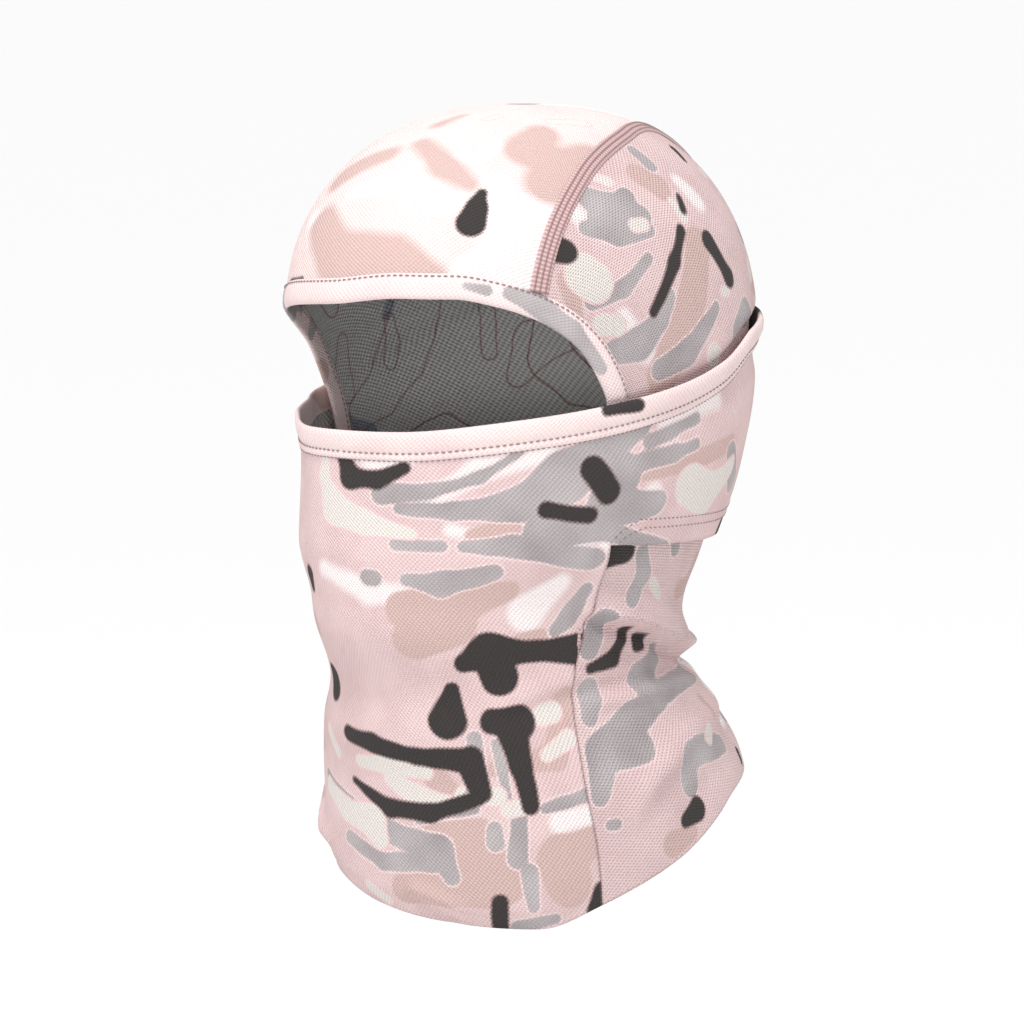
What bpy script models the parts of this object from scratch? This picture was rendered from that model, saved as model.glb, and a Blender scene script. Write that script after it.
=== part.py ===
"""Hinged balaclava as it sits on a head: a sewn hood with a bound face opening, a face mask whose
ear band runs round the back of the head over the hood, and a two-piece neck.
Metres, +Z up, the face looks along -Y, the wearer's left is +X, z = 0 is the widest level of the head."""

import bmesh
import bpy
import numpy as np

# Head form the cloth is stretched over: height, half width, front depth, back depth.
SECTIONS = np.array([
    (-0.222, 0.075, 0.082, 0.104),
    (-0.190, 0.074, 0.082, 0.100),
    (-0.160, 0.071, 0.081, 0.095),
    (-0.150, 0.067, 0.083, 0.088),
    (-0.139, 0.063, 0.086, 0.0775),
    (-0.127, 0.060, 0.084, 0.068),
    (-0.115, 0.059, 0.089, 0.061),
    (-0.100, 0.060, 0.096, 0.062),
    (-0.088, 0.062, 0.0955, 0.0705),
    (-0.075, 0.0655, 0.093, 0.076),
    (-0.055, 0.0705, 0.092, 0.0865),
    (-0.040, 0.0735, 0.092, 0.0895),
    (-0.020, 0.0755, 0.096, 0.0925),
    (0.000, 0.077, 0.0995, 0.0975),
])
CROWN_HEIGHT = 0.086
CROWN_POWER = 2.4

CLOTH = 0.0007  # one layer of the knit
FOLDED = 0.0005  # one layer of a pressed binding or hem
THREAD = 0.00025  # radius of a sewn thread
THREAD_GAP = 0.0003  # clearance under a thread
LAYER_GAP = 0.0006  # clearance between layers sewn together
EDGE_GAP = 0.0004  # clearance between panels butted at a seam
CROWN_GAP = 0.0010  # the same under a crown seam, measured across the head
FOLD_GAP = 0.0009  # clearance between the edge of a panel and the fold of its binding
EAR_BAND_STANDOFF = 0.0042  # outer face of the mask and ear band above the hood

# Lower edge of the brow, then the edge of the hood down to the jaw: side angle in degrees, height in mm.
BROW_LEFT = [(0, 18), (20, 21), (33, 21), (44, 18), (54.5, 12), (62.5, 3), (67.5, -8), (70.5, -19),
             (72, -34), (72.5, -48), (72.5, -64)]
BROW_RIGHT = [(0, 18), (-20, 15.5), (-33, 12.5), (-44, 9), (-54.5, 3), (-62.5, -5), (-67.5, -17),
              (-70.5, -29), (-72, -42), (-72.5, -52), (-72.5, -64)]
BINDING_WIDTH = 0.0085
# Crown seam: half width of the centre panel against the angle over the crown, front to back.
CROWN_SEAM = [(0, 61), (28, 60.3), (43, 59.2), (58, 57), (73, 53), (85, 49), (95, 44.5), (104, 38.5), (113, 32.5),
              (125, 27.5), (145, 24), (180, 22)]
CROWN_SEAM_NAPE = 0.020
CROWN_SEAM_ANGLE = 52.5  # side angle where the crown seam meets the brow
FLATLOCK_WIDTH = 0.009
NAPE = -0.064  # level where the hood is joined to the back of the neck
MASK_TOP = [(0, -28), (20, -27.2), (45, -23.5), (68, -19.5), (90, -14), (105, -8), (120, 1), (150, 5), (180, 6)]
BAND_HEM = [(70, -69), (96, -73), (125, -75), (150, -70), (180, -66)]
HEM_DEPTH = 0.009
MASK_SIDE = 70.0  # side angle where the rigid front of the mask ends and the ear band starts
JAW = -0.070  # level where the mask front ends and the front of the neck starts
NECK_SEAM = [(-211, 67.5), (-182, 66), (-160, 64), (-142, 66), (-124, 67), (-106, 72), (-88, 74.5), (-64, 73)]
RIM = [(-180, -170), (-140, -172), (-90, -181), (-45, -190), (0, -205), (20, -208.5), (50, -211), (67, -203.5),
       (90, -192), (107, -181), (120, -174), (140, -171), (180, -170)]


def smooth(points, at):
    """A curve without overshoot through (place, value) pairs, read at the places in at."""
    x, y = np.array(points, float).T
    h, d = np.diff(x), np.diff(y) / np.diff(x)
    same = d[:-1] * d[1:] > 0
    inner = np.zeros(len(d) - 1)
    w1, w2 = (2 * h[1:] + h[:-1])[same], (h[1:] + 2 * h[:-1])[same]
    inner[same] = (w1 + w2) / (w1 / d[:-1][same] + w2 / d[1:][same])
    slope = np.concatenate([d[:1], inner, d[-1:]])
    at = np.clip(np.asarray(at, float), x[0], x[-1])
    i = np.clip(np.searchsorted(x, at, side="right") - 1, 0, len(h) - 1)
    u = (at - x[i]) / h[i]
    return (y[i] * (1 + 2 * u) * (1 - u) ** 2 + y[i + 1] * u * u * (3 - 2 * u)
            + h[i] * u * (1 - u) * (slope[i] * (1 - u) - slope[i + 1] * u))


def level(points):
    """level(points) read as metres against degrees."""
    return lambda side: smooth(points, side) / 1000


def section(z):
    z = np.minimum(z, 0)
    return [smooth(SECTIONS[:, [0, i]], z) for i in (1, 2, 3)]


def gauge(p):
    """1 on the head form, less inside it, more outside it."""
    x, y, z = np.moveaxis(np.asarray(p, float), -1, 0)
    width, front, back = section(z)
    flat = np.hypot(x / width, y / np.where(y < 0, front, back))
    rise = np.clip(z, 0, None) / CROWN_HEIGHT
    return np.power(np.power(flat, CROWN_POWER) + np.power(rise, CROWN_POWER), 1 / CROWN_POWER)


def snap(p):
    """Moves points onto the head form: level below the widest part, away from its centre above it."""
    p = np.array(p, float)
    scale = 1 / gauge(p)
    low = p[..., 2] <= 0
    p[..., 0] *= scale
    p[..., 1] *= scale
    p[..., 2] *= np.where(low, 1, scale)
    return p


def normal(p):
    step = 0.0005
    slopes = []
    for axis in np.eye(3) * step:
        slopes.append(gauge(p + axis) - gauge(p - axis))
    n = np.stack(slopes, -1)
    return n / np.linalg.norm(n, axis=-1, keepdims=True)


def lift(p, height):
    """Points of the head form moved out by height."""
    return p + normal(p) * np.asarray(height)[..., None]


def around(side, z):
    """The point of the head form at a side angle (0 front, 90 wearer's left) and height."""
    side, z = np.broadcast_arrays(np.radians(side), z)
    width, front, back = section(z)
    y = -np.where(np.cos(side) > 0, front, back) * np.cos(side)
    rise = np.clip(z / CROWN_HEIGHT, 0, 1)
    shrink = np.power(1 - np.power(rise, CROWN_POWER), 1 / CROWN_POWER)
    return np.stack([width * np.sin(side) * shrink, y * shrink, z], -1)


def brow_edge(side_sign, along):
    """Edge of the hood on one side: along 0 is the front centre, 1 the jaw. Gives side angle and height."""
    points = np.array(BROW_LEFT if side_sign > 0 else BROW_RIGHT, float)
    step = np.hypot(np.diff(points[:, 0]) * 1.4, np.diff(points[:, 1]))
    reach = np.concatenate([[0], np.cumsum(step)])
    reach /= reach[-1]
    side = smooth(np.column_stack([reach, points[:, 0]]), along)
    return side, smooth(np.column_stack([reach, points[:, 1]]), along) / 1000


def brow_share(side_sign):
    """How far along the edge of the hood the crown seam meets it."""
    along = np.linspace(0, 1, 400)
    side, _ = brow_edge(side_sign, along)
    return float(np.interp(CROWN_SEAM_ANGLE, np.abs(side), along))


def over_crown(x, angle):
    """The point of the crown at a distance x from the middle and an angle over it from the front."""
    x, angle = np.broadcast_arrays(x, np.radians(angle))
    near, far = np.zeros(x.shape), np.full(x.shape, 0.15)
    for _ in range(40):
        middle = (near + far) / 2
        p = np.stack([x, -middle * np.cos(angle), middle * np.sin(angle)], -1)
        inside = gauge(p) < 1
        near, far = np.where(inside, middle, near), np.where(inside, far, middle)
    return np.stack([x, -near * np.cos(angle), near * np.sin(angle)], -1)


CROWN_ROWS = 0.72  # share of the centre panel's length that lies over the crown, down to z = 0


def center_point(across, along, widen=0.0):
    """Point of the centre panel: across -1 right seam to 1 left seam, along 0 brow to 1 nape."""
    across, along = np.broadcast_arrays(np.asarray(across, float), np.asarray(along, float))
    share = np.where(across >= 0, brow_share(1), brow_share(-1)) * np.abs(across)
    left, right = brow_edge(1, share), brow_edge(-1, share)
    side, z = np.where(across >= 0, left, right)
    start = around(side, z)
    first = np.degrees(np.arctan2(start[..., 2], -start[..., 1]))
    angle = first + (180 - first) * np.clip(along / CROWN_ROWS, 0, 1)
    width = smooth(CROWN_SEAM, angle) / 1000
    x = start[..., 0] * width / (smooth(CROWN_SEAM, first) / 1000) + np.sign(across) * widen
    crown = over_crown(x, angle)
    down = np.clip((along - CROWN_ROWS) / (1 - CROWN_ROWS), 0, 1)
    low_x = x * (1 - down * (1 - CROWN_SEAM_NAPE * 1000 / CROWN_SEAM[-1][1]))
    low_z = NAPE * down
    width, _, back = section(low_z)
    low = np.stack([low_x, back * np.sqrt(1 - (low_x / width) ** 2), low_z], -1)
    return np.where((along <= CROWN_ROWS)[..., None], crown, low)


def material(name, color, roughness):
    made = bpy.data.materials.new(name)
    made.use_nodes = True
    shader = made.node_tree.nodes["Principled BSDF"]
    shader.inputs["Base Color"].default_value = (*color, 1)
    shader.inputs["Roughness"].default_value = roughness
    shader.inputs["Metallic"].default_value = 0
    made.diffuse_color = (*color, 1)
    return made


def link(name, bm, made):
    mesh = bpy.data.meshes.new(name)
    bmesh.ops.recalc_face_normals(bm, faces=bm.faces)
    bm.to_mesh(mesh)
    bm.free()
    mesh.materials.append(made)
    obj = bpy.data.objects.new(name, mesh)
    GARMENT.objects.link(obj)
    return obj


def panel(name, grid, made, thickness=CLOTH):
    """A cloth panel: its outer face is the grid, its thickness goes inward."""
    rows, columns = grid.shape[:2]
    bm = bmesh.new()
    verts = [[bm.verts.new(p) for p in row] for row in grid]
    outward = 0
    for i in range(rows - 1):
        for j in range(columns - 1):
            face = bm.faces.new([verts[i][j], verts[i][j + 1], verts[i + 1][j + 1], verts[i + 1][j]])
            face.normal_update()
            outward += face.normal.dot(face.calc_center_median())
    mesh = bpy.data.meshes.new(name)
    if outward < 0:
        bmesh.ops.reverse_faces(bm, faces=bm.faces)
    bm.to_mesh(mesh)
    bm.free()
    mesh.materials.append(made)
    obj = bpy.data.objects.new(name, mesh)
    GARMENT.objects.link(obj)
    solid = obj.modifiers.new("thickness", "SOLIDIFY")
    solid.thickness = thickness
    solid.offset = -1
    solid.use_even_offset = True
    return obj


def loft(name, rings, made):
    """A closed body through rings of equal length, with flat ends."""
    bm = bmesh.new()
    verts = [[bm.verts.new(p) for p in ring] for ring in rings]
    count = len(verts[0])
    for a, b in zip(verts[:-1], verts[1:]):
        for j in range(count):
            k = (j + 1) % count
            bm.faces.new([a[j], a[k], b[k], b[j]])
    bm.faces.new(verts[0])
    bm.faces.new(verts[-1])
    return link(name, bm, made)


def frames(path):
    """Direction across a path that lies on the head form, in the cloth, to the left of travel."""
    tangent = np.gradient(path, axis=0)
    tangent /= np.linalg.norm(tangent, axis=1, keepdims=True)
    across = np.cross(normal(path), tangent)
    return across / np.linalg.norm(across, axis=1, keepdims=True)


def swept(name, path, profile, made):
    """A profile of (distance across, height above the form) swept along a path on the head form."""
    across = frames(path)
    rings = [lift(snap(path + across * d), np.full(len(path), h)) for d, h in profile]
    return loft(name, np.stack(rings, 1), made)


def strip_profile(half_width, bottom, top):
    return [(-half_width, bottom), (0, bottom), (half_width, bottom),
            (half_width, top), (0, top), (-half_width, top)]


def binding_profile(width, face):
    """U-section folded over the edge of a panel whose outer face is at the height face."""
    inner = face - CLOTH - LAYER_GAP
    outer = face + LAYER_GAP
    end = width - FOLDED
    return [(end, outer), (end / 2, outer), (-FOLD_GAP, outer), (-FOLD_GAP, inner), (end / 2, inner), (end, inner),
            (end, inner - FOLDED), (end / 2, inner - FOLDED), (-FOLD_GAP - FOLDED, inner - FOLDED),
            (-FOLD_GAP - FOLDED, outer + FOLDED), (end / 2, outer + FOLDED), (end, outer + FOLDED)]


def thread_profile(across, height):
    angles = np.radians(np.arange(30, 390, 60))
    return [(across + THREAD * np.cos(a), height + THREAD * np.sin(a)) for a in angles]


CENTER_ROWS = 26  # faces along the centre panel
SEAM_TURN = 15  # of them, those whose side seam is the upper edge of the side panel


def crown_panels(made):
    across, along = np.meshgrid(np.linspace(-1, 1, 19), np.linspace(0, 1, CENTER_ROWS + 1))
    grid = center_point(across, along)
    panel("crown_center_panel", grid, made)
    for sign, side in ((1, "left"), (-1, "right")):
        panel(f"crown_side_panel_{side}", side_grid(sign), made)


def coons(bottom, top, left, right):
    """Points inside four boundary curves."""
    v = np.linspace(0, 1, len(left))[:, None, None]
    u = np.linspace(0, 1, len(bottom))[None, :, None]
    ruled = (1 - v) * bottom[None] + v * top[None] + (1 - u) * left[:, None] + u * right[:, None]
    corners = ((1 - u) * (1 - v) * bottom[0] + u * (1 - v) * bottom[-1]
               + (1 - u) * v * top[0] + u * v * top[-1])
    return ruled - corners


def side_grid(sign):
    """Hood side panel: its front edge is the face opening, its upper and back edges the crown seam."""
    columns, rows = SEAM_TURN + 1, CENTER_ROWS - SEAM_TURN + 1
    turn = SEAM_TURN / CENTER_ROWS
    top = center_point(float(sign), np.linspace(0, turn, columns), CROWN_GAP)
    back = center_point(float(sign), np.linspace(1, turn, rows), CROWN_GAP)
    front = around(*brow_edge(sign, np.linspace(1, brow_share(sign), rows)))
    front[-1] = top[0]
    width, _, depth = section(NAPE)
    nape = np.degrees(np.arctan2(back[0][0] / width, -back[0][1] / depth))
    bottom = around(np.linspace(sign * BROW_LEFT[-1][0], nape, columns), NAPE)
    grid = coons(bottom, top, front, back)
    grid[1:-1, 1:-1] = snap(grid[1:-1, 1:-1])
    return grid


def crown_seams(cloth, thread):
    """Flatlock seams: a covering strip with raised rows of thread."""
    along = np.linspace(0.055, 0.96, 24)
    strip = strip_profile(FLATLOCK_WIDTH / 2, LAYER_GAP, LAYER_GAP + FOLDED)
    on_top = LAYER_GAP + FOLDED + THREAD_GAP + THREAD
    for sign, side in ((1, "left"), (-1, "right")):
        path = center_point(float(sign), along, CROWN_GAP / 2)
        swept(f"crown_seam_{side}", path, strip, cloth)
        for number, offset in enumerate((-0.35, 0.35)):
            row = thread_profile(offset * FLATLOCK_WIDTH, on_top)
            swept(f"crown_seam_thread_{side}_{number + 1}", path, row, thread)


def hood_edge(count):
    left = np.linspace(0, 1, count)
    side_l, z_l = brow_edge(1, left)
    side_r, z_r = brow_edge(-1, left[:0:-1])
    return around(np.concatenate([side_r, side_l]), np.concatenate([z_r, z_l]))


def brow_binding(cloth, thread):
    path = hood_edge(24)
    swept("brow_binding", path, binding_profile(BINDING_WIDTH, 0.0), cloth)
    height = LAYER_GAP + FOLDED + THREAD_GAP + THREAD
    swept("brow_stitch", path, thread_profile(BINDING_WIDTH - 0.0015, height), thread)


def outer_height(z):
    """Stand-off of the front panel: full over the face, none on the neck."""
    share = np.clip((z - -0.094) / 0.022, 0, 1)
    return EAR_BAND_STANDOFF * share * share * (3 - 2 * share)


def band_grid(first, last, columns, rows, top, bottom):
    """Panel between two level curves over a range of side angles."""
    side = np.linspace(first, last, columns)
    share = np.linspace(0, 1, rows)[:, None]
    z = top(np.abs(side)) * (1 - share) + bottom(np.abs(side)) * share
    p = around(np.broadcast_to(side, z.shape), z)
    return lift(p, np.full(z.shape, EAR_BAND_STANDOFF))


def edge_path(first, last, count, edge, drop=0.0):
    side = np.linspace(first, last, count)
    return around(side, edge(np.abs(side)) - drop)


BODY_GAP = 0.3  # degrees between the mask front and the ear band
BACK_GAP = 1.0  # degrees from the centre back to the end of each ear band


def mask_front(cloth, thread):
    top, jaw = level(MASK_TOP), level([(0, JAW * 1000), (180, JAW * 1000)])
    panel("mask_front_panel", band_grid(-MASK_SIDE, MASK_SIDE, 21, 7, top, jaw), cloth)
    path = edge_path(MASK_SIDE, -MASK_SIDE, 25, top)
    profile = binding_profile(BINDING_WIDTH, EAR_BAND_STANDOFF)
    swept("mask_top_binding_front", path, profile, cloth)
    height = EAR_BAND_STANDOFF + LAYER_GAP + FOLDED + THREAD_GAP + THREAD
    row = thread_profile(BINDING_WIDTH - 0.0015, height)
    swept("mask_top_stitch_front", path, row, thread)


def ear_band(cloth, thread):
    top, low = level(MASK_TOP), level(BAND_HEM)
    first, last = MASK_SIDE + BODY_GAP, 180 - BACK_GAP
    fold = EAR_BAND_STANDOFF - CLOTH - LAYER_GAP
    on_cloth = EAR_BAND_STANDOFF + THREAD_GAP + THREAD
    for sign, side in ((1, "left"), (-1, "right")):
        panel(f"ear_band_{side}", band_grid(sign * first, sign * last, 25, 12, top, low), cloth)
        ends = (last, first) if sign > 0 else (-first, -last)
        hem = edge_path(*ends, 21, low, -HEM_DEPTH / 2)
        strip = strip_profile(HEM_DEPTH / 2 - 0.0005, fold - FOLDED, fold)
        swept(f"ear_band_hem_{side}", hem, strip, cloth)
        for number, rise in enumerate((0.0055, 0.0085)):
            row = edge_path(*ends, 21, low, -rise)
            swept(f"ear_band_hem_stitch_{side}_{number + 1}", row, thread_profile(0.0, on_cloth), thread)
    path = back_edge(first, 49, top)
    swept("mask_top_binding_back", path, binding_profile(BINDING_WIDTH, EAR_BAND_STANDOFF), cloth)
    height = EAR_BAND_STANDOFF + LAYER_GAP + FOLDED + THREAD_GAP + THREAD
    swept("mask_top_stitch_back", path, thread_profile(BINDING_WIDTH - 0.0015, height), thread)


def back_edge(first, count, edge):
    """Path round the back of the head, from the wearer's right side to the left side."""
    side = np.linspace(360 - first, first, count)
    return around(side, edge(np.minimum(side, 360 - side)))


def neck(cloth):
    rim = level(RIM)
    share = np.linspace(0, 1, 14)[:, None]
    side = np.linspace(-1, 1, 17)
    z = JAW - 0.0004 + 0 * share
    for _ in range(12):
        turn = side * neck_seam(z)
        z = (JAW - 0.0004) * (1 - share) + rim(turn) * share
    front = lift(around(turn, z), outer_height(z))
    panel("neck_front_panel", front, cloth)
    back_share = np.linspace(0, 1, 31)
    z = NAPE - EDGE_GAP + 0 * share
    for _ in range(12):
        first = neck_seam(z) + 0.6
        turn = first + (360 - 2 * first) * back_share
        wrapped = np.where(turn > 180, turn - 360, turn)
        z = (NAPE - EDGE_GAP) * (1 - share) + rim(wrapped) * share
    panel("neck_back_panel", around(turn, z), cloth)


def neck_seam(z):
    return smooth(NECK_SEAM, np.asarray(z) * 1000)


def neck_seams(cloth):
    """Overlocked seam allowances inside the neck, and the joint between the hood and the neck."""
    inner = -CLOTH - LAYER_GAP
    strip = strip_profile(0.0035, inner - FOLDED, inner)
    rim = level(RIM)
    for sign, side in ((1, "left"), (-1, "right")):
        z = np.linspace(-0.098, rim(sign * 67.5) + 0.001, 22)
        swept(f"neck_seam_{side}", around(sign * (neck_seam(z) + 0.3), z), strip, cloth)
    nape = around(np.linspace(277.5, 82.5, 27), NAPE - EDGE_GAP / 2)
    swept("nape_seam", nape, strip_profile(0.003, inner - FOLDED, inner), cloth)
    low, high = level(BAND_HEM)(180) + HEM_DEPTH + 0.001, level(MASK_TOP)(180) - BINDING_WIDTH - 0.001
    back = around(180.0, np.linspace(high, low, 10))
    fold = EAR_BAND_STANDOFF - CLOTH - LAYER_GAP
    swept("ear_band_back_seam", back, strip_profile(0.003, fold - FOLDED, fold), cloth)


def clear_scene():
    for obj in list(bpy.data.objects):
        bpy.data.objects.remove(obj)


clear_scene()
GARMENT = bpy.data.collections.new("balaclava")
bpy.context.scene.collection.children.link(GARMENT)
KNIT = material("camo_knit", (0.80, 0.66, 0.66), 0.85)
BINDING = material("binding_knit", (0.84, 0.73, 0.73), 0.8)
SEAM = material("flatlock_seam", (0.62, 0.48, 0.48), 0.75)
STITCH = material("sewing_thread", (0.55, 0.42, 0.42), 0.6)
crown_panels(KNIT)
crown_seams(SEAM, STITCH)
brow_binding(BINDING, STITCH)
mask_front(KNIT, STITCH)
ear_band(KNIT, STITCH)
neck(KNIT)
neck_seams(SEAM)
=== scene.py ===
"""Looks of the balaclava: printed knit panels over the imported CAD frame."""

import math

import bmesh
import bpy
import numpy as np
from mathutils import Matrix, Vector


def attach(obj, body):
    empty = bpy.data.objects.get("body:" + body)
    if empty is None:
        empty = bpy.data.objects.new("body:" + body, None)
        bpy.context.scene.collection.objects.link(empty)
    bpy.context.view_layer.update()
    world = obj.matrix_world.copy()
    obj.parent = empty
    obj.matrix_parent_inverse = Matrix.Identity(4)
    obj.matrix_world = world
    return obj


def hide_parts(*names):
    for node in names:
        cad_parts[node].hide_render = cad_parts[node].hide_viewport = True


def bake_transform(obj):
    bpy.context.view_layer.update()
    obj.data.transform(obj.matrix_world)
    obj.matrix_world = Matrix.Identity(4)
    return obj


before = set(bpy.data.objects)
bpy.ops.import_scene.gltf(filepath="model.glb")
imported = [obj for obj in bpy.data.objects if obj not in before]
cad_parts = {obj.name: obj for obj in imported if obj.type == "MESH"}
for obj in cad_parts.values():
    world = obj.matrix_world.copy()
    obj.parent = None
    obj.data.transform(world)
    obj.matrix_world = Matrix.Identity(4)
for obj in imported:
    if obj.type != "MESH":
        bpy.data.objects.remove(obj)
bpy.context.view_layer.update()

# ---------------------------------------------------------------- the head form, as in the CAD
SECTIONS = np.array([
    (-0.222, 0.075, 0.082, 0.104),
    (-0.190, 0.074, 0.082, 0.100),
    (-0.160, 0.071, 0.081, 0.095),
    (-0.150, 0.067, 0.083, 0.088),
    (-0.139, 0.063, 0.086, 0.0775),
    (-0.127, 0.060, 0.084, 0.068),
    (-0.115, 0.059, 0.089, 0.061),
    (-0.100, 0.060, 0.096, 0.062),
    (-0.088, 0.062, 0.0955, 0.0705),
    (-0.075, 0.0655, 0.093, 0.076),
    (-0.055, 0.0705, 0.092, 0.0865),
    (-0.040, 0.0735, 0.092, 0.0895),
    (-0.020, 0.0755, 0.096, 0.0925),
    (0.000, 0.077, 0.0995, 0.0975),
])
CROWN_HEIGHT, CROWN_POWER = 0.086, 2.4
CLOTH = 0.0007  # one layer of the knit
BAND_OUT = 0.0042  # height of the mask and ear band's outer face over the form
FAR = 60.0  # mm, the distance given where no shape or seam is near
BROW_LEFT = [(0, 18), (20, 21), (33, 21), (44, 18), (54.5, 12), (62.5, 3), (67.5, -8), (70.5, -19),
             (72, -34), (72.5, -48), (72.5, -64)]
BROW_RIGHT = [(0, 18), (-20, 15.5), (-33, 12.5), (-44, 9), (-54.5, 3), (-62.5, -5), (-67.5, -17),
              (-70.5, -29), (-72, -42), (-72.5, -52), (-72.5, -64)]
# Half width of the crown centre panel in mm, by the angle over the head from the front.
CROWN_SEAM = [(0, 61), (28, 60.3), (43, 59.2), (58, 57), (73, 53), (85, 49), (95, 44.5), (104, 38.5),
              (113, 32.5), (125, 27.5), (145, 24), (180, 22)]
CROWN_SEAM_NAPE, CROWN_SEAM_ANGLE, CROWN_ROWS = 0.020, 52.5, 0.72
NAPE, JAW = -0.064, -0.070
# Levels in mm, by side angle: the top of the mask and ear band, its hem, and the bottom rim.
MASK_TOP = [(-180, 6), (-150, 4), (-120, -2), (-105, -11), (-90, -19), (-68, -25.5), (-45, -28.3),
            (-20, -28.6), (0, -28), (20, -27.2), (45, -23.5), (68, -19.5), (90, -14), (105, -8), (120, 1),
            (150, 5), (180, 6)]
BAND_HEM = [(70, -70), (96, -73), (125, -75), (150, -70), (180, -66)]
NECK_SEAM = [(-211, 67.5), (-182, 66), (-160, 64), (-142, 66), (-124, 67), (-106, 72), (-88, 74.5),
             (-64, 73)]  # side angle of the seam, by level
RIM = [(-180, -170), (-140, -172), (-90, -181), (-45, -190), (0, -205), (20, -208.5), (50, -211),
       (67, -203.5), (90, -192), (107, -181), (120, -174), (140, -171), (180, -170)]
BINDING = 0.0085  # width of a folded binding


def smooth(points, at):
    """A curve without overshoot through (place, value) pairs, read at the places in at."""
    x, y = np.array(points, float).T
    h, d = np.diff(x), np.diff(y) / np.diff(x)
    same = d[:-1] * d[1:] > 0
    inner = np.zeros(len(d) - 1)
    w1, w2 = (2 * h[1:] + h[:-1])[same], (h[1:] + 2 * h[:-1])[same]
    inner[same] = (w1 + w2) / (w1 / d[:-1][same] + w2 / d[1:][same])
    slope = np.concatenate([d[:1], inner, d[-1:]])
    at = np.clip(np.asarray(at, float), x[0], x[-1])
    i = np.clip(np.searchsorted(x, at, side="right") - 1, 0, len(h) - 1)
    u = (at - x[i]) / h[i]
    return (y[i] * (1 + 2 * u) * (1 - u) ** 2 + y[i + 1] * u * u * (3 - 2 * u)
            + h[i] * u * (1 - u) * (slope[i] * (1 - u) - slope[i + 1] * u))


def level(points):
    return lambda side: smooth(points, side) / 1000


FORM_Z = np.arange(-0.262, 0.0305, 0.001)


def softened(column):
    """One column of the sections every millimetre, with its corners rounded off."""
    values = smooth(SECTIONS[:, [0, column]], np.minimum(FORM_Z, 0))
    kernel = np.exp(-0.5 * (np.arange(-15, 16) / 4.5) ** 2)
    return np.convolve(np.pad(values, 15, "edge"), kernel / kernel.sum(), "valid")


FORM = [softened(1), softened(2), softened(3)]


def section(z):
    return [np.interp(np.minimum(z, 0), FORM_Z, column) for column in FORM]


def gauge(p):
    """1 on the head form, less inside it, more outside it."""
    x, y, z = np.moveaxis(np.asarray(p, float), -1, 0)
    width, front, back = section(z)
    flat = np.hypot(x / width, y / np.where(y < 0, front, back))
    rise = np.clip(z, 0, None) / CROWN_HEIGHT
    return np.power(np.power(flat, CROWN_POWER) + np.power(rise, CROWN_POWER), 1 / CROWN_POWER)


def snap(p):
    p = np.array(p, float)
    scale = 1 / gauge(p)
    p[..., 2] *= np.where(p[..., 2] <= 0, 1, scale)
    p[..., :2] *= scale[..., None]
    return p


def normal(p):
    n = np.stack([gauge(p + axis) - gauge(p - axis) for axis in np.eye(3) * 0.0012], -1)
    return n / np.linalg.norm(n, axis=-1, keepdims=True)


def around(side, z):
    """The point of the head form at a side angle (0 front, 90 wearer's left) and height."""
    side, z = np.broadcast_arrays(np.radians(side), z)
    width, front, back = section(z)
    y = -np.where(np.cos(side) > 0, front, back) * np.cos(side)
    rise = np.clip(z / CROWN_HEIGHT, 0, 1)
    shrink = np.power(1 - np.power(rise, CROWN_POWER), 1 / CROWN_POWER)
    return np.stack([width * np.sin(side) * shrink, y * shrink, z], -1)


def side_of(p):
    width, front, back = section(p[..., 2])
    return np.degrees(np.arctan2(p[..., 0] / width, -p[..., 1] / np.where(p[..., 1] < 0, front, back)))


def brow_edge(side_sign, along):
    points = np.array(BROW_LEFT if side_sign > 0 else BROW_RIGHT, float)
    step = np.hypot(np.diff(points[:, 0]) * 1.4, np.diff(points[:, 1]))
    reach = np.concatenate([[0], np.cumsum(step)])
    reach /= reach[-1]
    side = smooth(np.column_stack([reach, points[:, 0]]), along)
    return side, smooth(np.column_stack([reach, points[:, 1]]), along) / 1000


def brow_share(side_sign):
    along = np.linspace(0, 1, 800)
    side, _ = brow_edge(side_sign, along)
    return float(np.interp(CROWN_SEAM_ANGLE, np.abs(side), along))


def over_crown(x, angle):
    """The point of the crown at a distance x from the middle and an angle over it from the front."""
    x, angle = np.broadcast_arrays(x, np.radians(angle))
    near, far = np.zeros(x.shape), np.full(x.shape, 0.15)
    for _ in range(30):
        middle = (near + far) / 2
        inside = gauge(np.stack([x, -middle * np.cos(angle), middle * np.sin(angle)], -1)) < 1
        near, far = np.where(inside, middle, near), np.where(inside, far, middle)
    return np.stack([x, -near * np.cos(angle), near * np.sin(angle)], -1)


def center_point(across, along, widen=0.0):
    """Point of the crown centre panel: across -1 to 1 between its seams, along 0 brow to 1 nape."""
    across, along = np.broadcast_arrays(np.asarray(across, float), np.asarray(along, float))
    share = np.where(across >= 0, brow_share(1), brow_share(-1)) * np.abs(across)
    left, right = brow_edge(1, share), brow_edge(-1, share)
    start = around(*np.where(across >= 0, left, right))
    first = np.degrees(np.arctan2(start[..., 2], -start[..., 1]))
    angle = first + (180 - first) * np.clip(along / CROWN_ROWS, 0, 1)
    width = smooth(CROWN_SEAM, angle) / 1000
    x = start[..., 0] * width / (smooth(CROWN_SEAM, first) / 1000) + np.sign(across) * widen
    crown = over_crown(x, angle)
    down = np.clip((along - CROWN_ROWS) / (1 - CROWN_ROWS), 0, 1)
    low_x = x * (1 - down * (1 - CROWN_SEAM_NAPE * 1000 / CROWN_SEAM[-1][1]))
    low_z = NAPE * down
    width, _, back = section(low_z)
    low = np.stack([low_x, back * np.sqrt(1 - (low_x / width) ** 2), low_z], -1)
    return np.where((along <= CROWN_ROWS)[..., None], crown, low)


def neck_seam(z):
    return smooth(NECK_SEAM, np.asarray(z) * 1000)


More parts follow.
